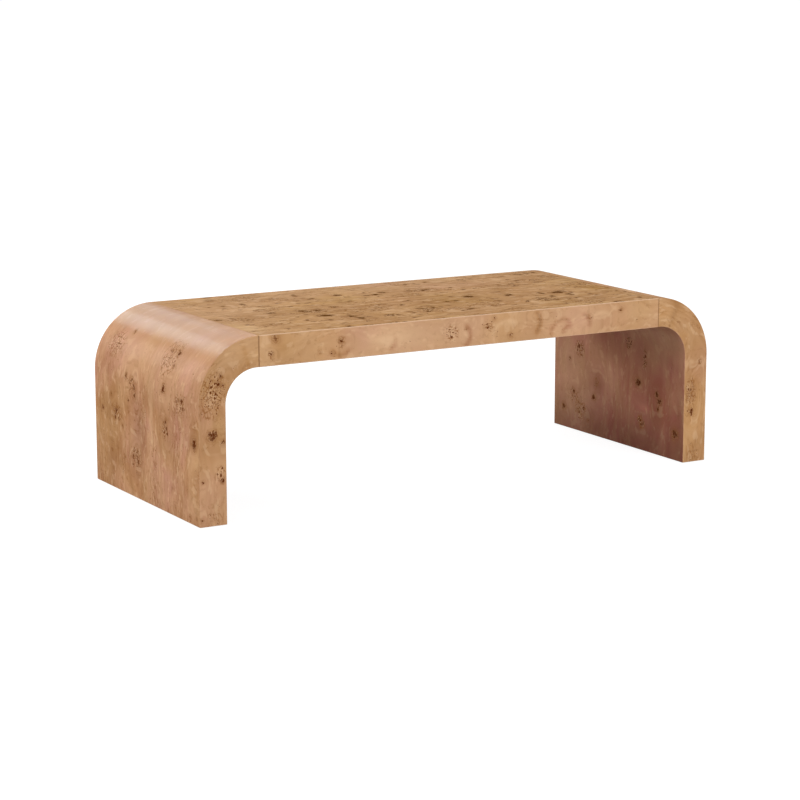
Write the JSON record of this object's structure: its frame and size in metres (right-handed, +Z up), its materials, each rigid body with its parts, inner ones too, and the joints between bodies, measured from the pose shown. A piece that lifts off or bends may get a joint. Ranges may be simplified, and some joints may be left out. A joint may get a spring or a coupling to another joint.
{
  "type": "waterfall coffee table",
  "caption": "Low rectangular coffee table whose thick flat top turns down through a rounded bend at each end into a full-width slab leg; burl veneer all over.",
  "frame": {"origin": "on the floor, under the middle of the table", "axes": "+X along the table's length, +Y from the front to the rear, +Z up"},
  "size_m": [1.365, 0.56, 0.4125],
  "materials": {
    "burl_veneer": "satin lacquer over mappa burl veneer",
    "fibreboard": "raw sanded fibreboard",
    "bent_plywood": "raw flexible plywood",
    "birch_plywood": "raw sawn plywood",
    "pine": "raw planed pine",
    "beech": "raw fluted beech",
    "zinc_plated_steel": "bright zinc plate",
    "brass": "turned brass",
    "brown_plastic": "moulded, fine satin",
    "black_plastic": "moulded, matt"
  },
  "bodies": {
    "root": {"centre_top_veneer": "burl_veneer", "centre_underside_veneer": "burl_veneer", "centre_front_edge_veneer": "burl_veneer", "centre_rear_edge_veneer": "burl_veneer", "centre_top_skin": "fibreboard", "centre_bottom_skin": "fibreboard", "centre_front_rail": "pine", "centre_rear_rail": "pine", "centre_left_seam_rail": "pine", "centre_right_seam_rail": "pine", "centre_cross_ribs": "fibreboard", "left_outer_veneer": "burl_veneer", "left_inner_veneer": "burl_veneer", "left_front_edge_veneer": "burl_veneer", "left_rear_edge_veneer": "burl_veneer", "left_outer_skin": "bent_plywood", "left_inner_skin": "bent_plywood", "left_front_former": "birch_plywood", "left_rear_former": "birch_plywood", "left_mid_formers": "birch_plywood", "left_joint_rail": "pine", "left_foot_rail": "pine", "left_joint_dowels": "beech", "left_joint_bolts": "zinc_plated_steel", "left_joint_washers": "zinc_plated_steel", "left_threaded_inserts": "brass", "left_access_caps": "brown_plastic", "left_floor_glides": "black_plastic", "left_glide_screws": "zinc_plated_steel", "right_outer_veneer": "burl_veneer", "right_inner_veneer": "burl_veneer", "right_front_edge_veneer": "burl_veneer", "right_rear_edge_veneer": "burl_veneer", "right_outer_skin": "bent_plywood", "right_inner_skin": "bent_plywood", "right_front_former": "birch_plywood", "right_rear_former": "birch_plywood", "right_mid_formers": "birch_plywood", "right_joint_rail": "pine", "right_foot_rail": "pine", "right_joint_dowels": "beech", "right_joint_bolts": "zinc_plated_steel", "right_joint_washers": "zinc_plated_steel", "right_threaded_inserts": "brass", "right_access_caps": "brown_plastic", "right_floor_glides": "black_plastic", "right_glide_screws": "zinc_plated_steel"}
  },
  "joints": []
}
